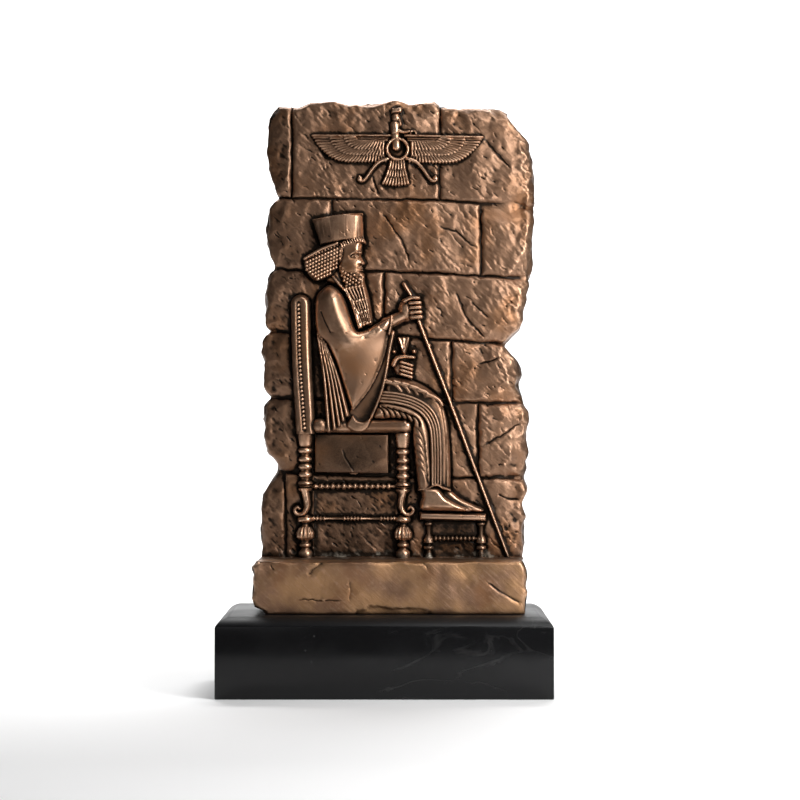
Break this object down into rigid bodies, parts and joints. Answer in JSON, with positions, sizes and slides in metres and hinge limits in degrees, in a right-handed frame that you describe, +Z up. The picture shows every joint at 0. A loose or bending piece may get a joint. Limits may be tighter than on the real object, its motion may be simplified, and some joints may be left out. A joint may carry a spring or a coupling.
{
  "type": "bronze relief sculpture on a marble plinth",
  "caption": "Bronze relief of a bearded king on a high-backed throne before a broken stone wall, a winged ring above, standing on a black marble plinth.",
  "frame": {"origin": "middle of the plinth's underside", "axes": "+Z up, the relief faces -Y, the king looks towards +X"},
  "size_m": [0.175, 0.082, 0.3142],
  "materials": {
    "bronze": "dark brown antique patina with rubbed coppery highlights",
    "black_marble": "polished black marble with a rounded upper edge"
  },
  "bodies": {
    "root": {"bronze_relief": "bronze", "marble_base": "black_marble"}
  },
  "joints": []
}
